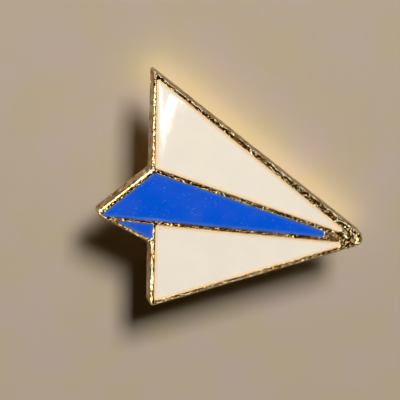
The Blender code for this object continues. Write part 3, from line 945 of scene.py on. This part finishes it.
def make_tab(name, side):
    """A rounded bar section, half_width(s) wide and one sheet thick, carried along the bent path.

    half_width is the leg's, then the shank's, then flares by a sine to the pad's, whose end is
    round: pad * sqrt(1 - p squared), with p the share of the last half width that is passed.
    The pad's dish moves the section along its normal by dish * exp(-distance squared).
    """
    corners = [TAB_FOOT, TAB_HEEL, (TAB_HEEL[0], TAB_SHANK_DEPTH), (TAB_PAD_Y, TAB_SHANK_DEPTH), TAB_TIP]
    path = rounded_path(corners, [0, 0.25, TAB_BEND, TAB_BEND, 0], TAB_STEP, closed=False)
    length = np.concatenate([[0], np.cumsum(np.linalg.norm(np.diff(path, axis=0), axis=1))])
    total = length[-1]
    end_run = total - TAB_PAD_HALF * (1 - np.cos(np.linspace(0, math.pi / 2, TAB_END_ROWS)))
    run = np.concatenate([np.arange(0, total - TAB_PAD_HALF, TAB_STEP), end_run[::-1]])
    y = np.interp(run, length, path[:, 0])
    z = np.interp(run, length, path[:, 1])
    along = np.stack([np.gradient(y, run), np.gradient(z, run)], axis=1)
    along /= np.linalg.norm(along, axis=1)[:, None]
    to_tip = total - run
    pad_length = math.dist((TAB_PAD_Y, TAB_SHANK_DEPTH), TAB_TIP) - TAB_BEND
    grown = np.clip((pad_length - to_tip) / TAB_FLARE, 0, 1)
    half = TAB_SHANK_HALF + (TAB_PAD_HALF - TAB_SHANK_HALF) * np.sin(grown * math.pi / 2)
    out_of_leg = np.clip((y - TAB_HEEL[0] - LEG_NARROWS_AFTER) / LEG_NARROWS_OVER, 0, 1)
    half = TAB_LEG_HALF + (half - TAB_LEG_HALF) * out_of_leg * out_of_leg * (3 - 2 * out_of_leg)
    past_round = np.clip(1 - to_tip / TAB_PAD_HALF, 0, 1)
    half = half * np.sqrt(np.maximum(0.0004, 1 - past_round ** 2))
    half = np.maximum(half, EDGE_ROUND * 1.05)
    thick = TAB_SHEET / 2
    turn = np.linspace(0, math.pi / 2, 6)
    arc = np.stack([np.cos(turn), np.sin(turn)], axis=1) * EDGE_ROUND
    quarter = [(1, 1), (-1, 1), (-1, -1), (1, -1)]
    flips = [(arc if a * b > 0 else arc[::-1]) * [a, b] for a, b in quarter]
    across = np.linspace(1, -1, TAB_ACROSS)[1:-1]
    rows = []
    for width, middle_y, middle_z, (step_y, step_z), left in zip(half, y, z, along, to_tip):
        upper = np.column_stack([across * (width - EDGE_ROUND), np.full(len(across), thick)])
        corner = [
            flip + [a * (width - EDGE_ROUND), b * (thick - EDGE_ROUND)]
            for flip, (a, b) in zip(flips, quarter)
        ]
        section = np.concatenate([corner[0], upper, corner[1], corner[2], upper * [-1, -1], corner[3]])
        gap = np.hypot(section[:, 0], left - PAD_DISH_FROM_TIP) / PAD_DISH_SPREAD
        off = section[:, 1] - PAD_DISH * np.exp(-gap ** 2)
        rows.append(np.column_stack([section[:, 0], middle_y - step_z * off, middle_z + step_y * off]))
    count = len(rows[0])
    points = np.concatenate(rows)
    quads = strips(0, len(rows), count)
    foot = len(points)
    points = np.concatenate([points, rows[0].mean(axis=0)[None], rows[-1].mean(axis=0)[None]])
    around = np.arange(count)
    ahead = np.roll(around, -1)
    last = (len(rows) - 1) * count
    foot_fan = np.stack([np.full(count, foot), around, ahead], axis=1)
    tip_fan = np.stack([np.full(count, foot + 1), last + ahead, last + around], axis=1)
    triangles = np.concatenate([foot_fan, tip_fan])
    turned_round = points * [side, side, 1]
    return make_piece(name, turned_round, quads, triangles)


tab_brass = pressed_brass("blanked brass strip", "DFBD7C", "B58D48", 0.11)
for which, side in (("far", 1), ("near", -1)):
    tab = make_tab("bent_tab_" + which, side)
    tab.data.materials.append(tab_brass)
    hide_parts("clutch_tab_" + which)
    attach(tab, which + "_tab")

# ---- The spring ----
# A loop of hard drawn steel wire with a waist that snaps into the post's groove. Its drawing
# lines run round the loop, and it is a little blued in scattered clouds.
WIRE_RADIUS = 0.19
SPRING_DEPTH = -6.50
SPRING_HALF_LENGTH = 1.35
SPRING_WAIST = 0.64
SPRING_BULGE = 1.8
SPRING_STEPS = 180
WIRE_STEPS = 22


def make_spring():
    """A tube on the loop x = waist cos t (1 + bulge sin squared t), y = half length sin t."""
    t = np.arange(SPRING_STEPS) / SPRING_STEPS * 2 * math.pi
    x = SPRING_WAIST * np.cos(t) * (1 + SPRING_BULGE * np.sin(t) ** 2)
    y = SPRING_HALF_LENGTH * np.sin(t)
    outward = outward_of(np.stack([x, y], axis=1))
    v = np.arange(WIRE_STEPS) / WIRE_STEPS * 2 * math.pi
    spread = WIRE_RADIUS * np.cos(v)
    flat_x = x[:, None] + outward[:, :1] * spread
    flat_y = y[:, None] + outward[:, 1:] * spread
    height = np.repeat((SPRING_DEPTH + WIRE_RADIUS * np.sin(v))[None], len(t), axis=0)
    points = np.stack([flat_x, flat_y, height], axis=-1).reshape(-1, 3)
    quads = strips(0, len(t), len(v))
    ring = np.arange(len(v))
    last = (len(t) - 1) * len(v)
    seam = np.stack([last + ring, ring, np.roll(ring, -1), last + np.roll(ring, -1)], axis=1)
    return make_piece("wire_loop", points, np.concatenate([quads, seam]), [])


def drawn_steel():
    """Bright grey wire, with faint straw and blue clouds from the temper and short die lines."""
    material = new_material("drawn spring steel")
    where = add_node(material, "ShaderNodeTexCoord", {}, {}).outputs["Object"]
    height = add_node(material, "ShaderNodeAttribute", {"attribute_name": "height_mm"}, {}).outputs["Fac"]
    temper = add_node(
        material, "ShaderNodeTexNoise", {}, {"Vector": where, "Scale": 1 / (0.9 * MM), "Detail": 3},
    )
    color = add_node(
        material, "ShaderNodeMix", {"data_type": "RGBA"},
        {0: temper.outputs["Fac"], 6: linear("CFCBC0"), 7: linear("9AA0AC")},
    )
    lines = add_node(
        material, "ShaderNodeTexNoise", {"noise_dimensions": "1D"},
        {"W": height, "Scale": 1 / 0.02, "Detail": 2},
    )
    rough = add_node(
        material, "ShaderNodeMapRange", {},
        {"Value": lines.outputs["Fac"], "From Min": 0.3, "From Max": 0.7, "To Min": 0.18, "To Max": 0.36},
    )
    scored = add_node(
        material, "ShaderNodeBump", {},
        {"Strength": 0.5, "Distance": 0.003 * MM, "Height": lines.outputs["Fac"]},
    )
    shader = add_node(
        material, "ShaderNodeBsdfPrincipled", {},
        {
            "Base Color": color.outputs[2], "Metallic": 1.0,
            "Roughness": rough.outputs["Result"], "Normal": scored.outputs["Normal"],
        },
    )
    add_node(material, "ShaderNodeOutputMaterial", {}, {"Surface": shader.outputs[0]})
    return material


spring = make_spring()
spring.data.materials.append(drawn_steel())
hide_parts("clutch_spring")
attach(spring, "clutch")
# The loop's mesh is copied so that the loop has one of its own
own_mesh(spring)

# ---- The table, the camera and the lamps ----
# A matt greige board under a soft key lamp. The metal and the enamel mirror a few panels that
# light nothing else, the far wing's gloss mirrors a thin strip, and another thin strip under
# the leading edge gives the warm light that the bright wall throws down on the board.
floor_mesh = bpy.data.meshes.new("table_top")
TABLE_HALF = 0.6
table_corners = [(a * TABLE_HALF, b * TABLE_HALF, 0) for a, b in ((-1, -1), (1, -1), (1, 1), (-1, 1))]
floor_mesh.from_pydata(table_corners, [], [(0, 1, 2, 3)])
table = bpy.data.objects.new("table_top", floor_mesh)
bpy.context.scene.collection.objects.link(table)
board = new_material("matt greige board")
where = add_node(board, "ShaderNodeTexCoord", {}, {}).outputs["Object"]
mottle = add_node(board, "ShaderNodeTexNoise", {}, {"Vector": where, "Scale": 1 / (7 * MM), "Detail": 5})
tint = add_node(
    board, "ShaderNodeMapRange", {}, {"Value": mottle.outputs["Fac"], "From Min": 0.35, "From Max": 0.65},
)
color = add_node(
    board, "ShaderNodeMix", {"data_type": "RGBA"},
    {0: tint.outputs["Result"], 6: linear("B2A690"), 7: linear("B3A59E")},
)
shader = add_node(
    board, "ShaderNodeBsdfPrincipled", {},
    {"Base Color": color.outputs[2], "Roughness": 0.85, "Specular IOR Level": 0.0},
)
add_node(board, "ShaderNodeOutputMaterial", {}, {"Surface": shader.outputs[0]})
floor_mesh.materials.append(board)

UP = np.array([0.0, 0.0, 1.0])
LOOK_AT = lay([(0.97, 1.45, 1.5)])[0]
CAMERA_AZIMUTH = 121.1
CAMERA_ELEVATION = 63.47
CAMERA_ROLL = math.radians(147.26)
CAMERA_DISTANCE = 0.220
CAMERA_SHIFT_RIGHT = 3.05
CAMERA_SHIFT_UP = 0.51


def way(azimuth, elevation):
    """The direction at an azimuth from the nose's side towards the far wing's, and an elevation."""
    a = math.radians(azimuth)
    e = math.radians(elevation)
    return np.array([math.cos(a) * math.cos(e), math.sin(a) * math.cos(e), math.sin(e)])


TO_CAMERA = way(CAMERA_AZIMUTH, CAMERA_ELEVATION)
level_right = np.cross(UP, TO_CAMERA) / math.cos(math.radians(CAMERA_ELEVATION))
level_up = np.cross(TO_CAMERA, level_right)
CAMERA_RIGHT = level_right * math.cos(CAMERA_ROLL) + level_up * math.sin(CAMERA_ROLL)
CAMERA_UP = np.cross(TO_CAMERA, CAMERA_RIGHT)
off_centre = (CAMERA_RIGHT * CAMERA_SHIFT_RIGHT + CAMERA_UP * CAMERA_SHIFT_UP) * MM
eye = LOOK_AT + TO_CAMERA * CAMERA_DISTANCE - off_centre
turn = Matrix(np.stack([CAMERA_RIGHT, CAMERA_UP, TO_CAMERA], axis=1).tolist())
camera_data = bpy.data.cameras.new("camera")
camera_data.sensor_width = 36
camera_data.lens = 194.9
camera_data.clip_start = 0.005
camera = bpy.data.objects.new("camera", camera_data)
camera.matrix_world = Matrix.Translation(eye.tolist()) @ turn.to_4x4()
bpy.context.scene.collection.objects.link(camera)
bpy.context.scene.camera = camera


def add_lamp(name, position, target, up, width, height, watts, hex_color):
    """A rectangular lamp at position that faces target, its height along up."""
    data = bpy.data.lights.new(name, "AREA")
    data.shape = "RECTANGLE"
    data.size = width
    data.size_y = height
    data.energy = watts
    data.color = linear(hex_color)[:3]
    lamp = bpy.data.objects.new(name, data)
    back = (position - target) / np.linalg.norm(position - target)
    side = np.cross(up, back)
    side /= np.linalg.norm(side)
    axes = Matrix(np.stack([side, np.cross(back, side), back], axis=1).tolist())
    lamp.matrix_world = Matrix.Translation(position.tolist()) @ axes.to_4x4()
    bpy.context.scene.collection.objects.link(lamp)
    return lamp


def mirrored(spot, distance):
    """The place, at a distance, that a level spot mirrors to the eye.

    The ray from the eye to the spot has its height turned over.
    """
    ray = (spot - eye) / np.linalg.norm(spot - eye)
    return spot + (ray - 2 * (ray @ FACE_OUT) * FACE_OUT) * distance


KEY_AZIMUTH = 86
KEY_ELEVATION = 51
KEY_DISTANCE = 0.8
key_place = LOOK_AT + way(KEY_AZIMUTH, KEY_ELEVATION) * KEY_DISTANCE
key_lamp = add_lamp(
    "key_lamp", key_place, LOOK_AT, UP, width=0.176, height=0.192, watts=8.10, hex_color="FFFAF0",
)
key_lamp.visible_glossy = False

# Panels: azimuth and elevation in degrees, width and height in metres, watts, colour
PANEL_DISTANCE = 0.5
PANELS = {
    "key_glint": (KEY_AZIMUTH, KEY_ELEVATION, 0.07, 0.05, 0.20, "FFFAF0"),
    "left_window": (223, 58, 0.20, 0.10, 0.85, "FFFAF2"),
    "low_window": (129, 22, 0.32, 0.27, 3.20, "FFF6E8"),
    "right_window": (18, 34, 0.16, 0.10, 0.32, "F4F8F6"),
    "near_window": (-48, 38, 0.07, 0.05, 0.13, "FFF6E4"),
    "crest_window": (131, 54, 0.12, 0.08, 0.34, "FFFAF2"),
    "foot_window": (276, 31, 0.12, 0.05, 0.19, "FFF8EC"),
    "back_window": (190, 40, 0.07, 0.05, 0.13, "FFF6E4"),
}
mirrored_only = []
for name, (azimuth, elevation, width, height, watts, hex_color) in PANELS.items():
    place = LOOK_AT + way(azimuth, elevation) * PANEL_DISTANCE
    mirrored_only.append(add_lamp(name, place, LOOK_AT, UP, width, height, watts, hex_color))

STREAK_ON_WING = [(-4.6, 14.6, ENAMEL_LEVEL), (-6.75, 7.2, ENAMEL_LEVEL)]
STREAK_DISTANCE = 0.33
streak_ends = np.array([mirrored(spot, STREAK_DISTANCE) for spot in lay(STREAK_ON_WING)])
streak_along = streak_ends[1] - streak_ends[0]
streak_strip = add_lamp(
    "streak_strip", streak_ends.mean(axis=0), LOOK_AT, streak_along,
    width=0.0016, height=np.linalg.norm(streak_along), watts=0.0024, hex_color="FFFFFF",
)
for panel in mirrored_only + [streak_strip]:
    panel.visible_diffuse = False
    panel.visible_camera = False

GLOW_ENDS = [(-5.5, 12.6, -6.1), (17.5, -7.4, -6.1)]
glow_ends = lay(GLOW_ENDS)
glow_middle = glow_ends.mean(axis=0)
glow_along = glow_ends[1] - glow_ends[0]
glow = add_lamp(
    "edge_glow", glow_middle, glow_middle - UP, glow_along,
    width=0.0015, height=np.linalg.norm(glow_along), watts=0.00037, hex_color="FFE684",
)
glow.visible_camera = False
glow.visible_glossy = False

world = bpy.data.worlds.new("dim room")
world.use_nodes = True
world.node_tree.nodes["Background"].inputs["Color"].default_value = linear("9C7C48")
world.node_tree.nodes["Background"].inputs["Strength"].default_value = 0.070
bpy.context.scene.world = world
bpy.context.scene.view_settings.view_transform = "Standard"
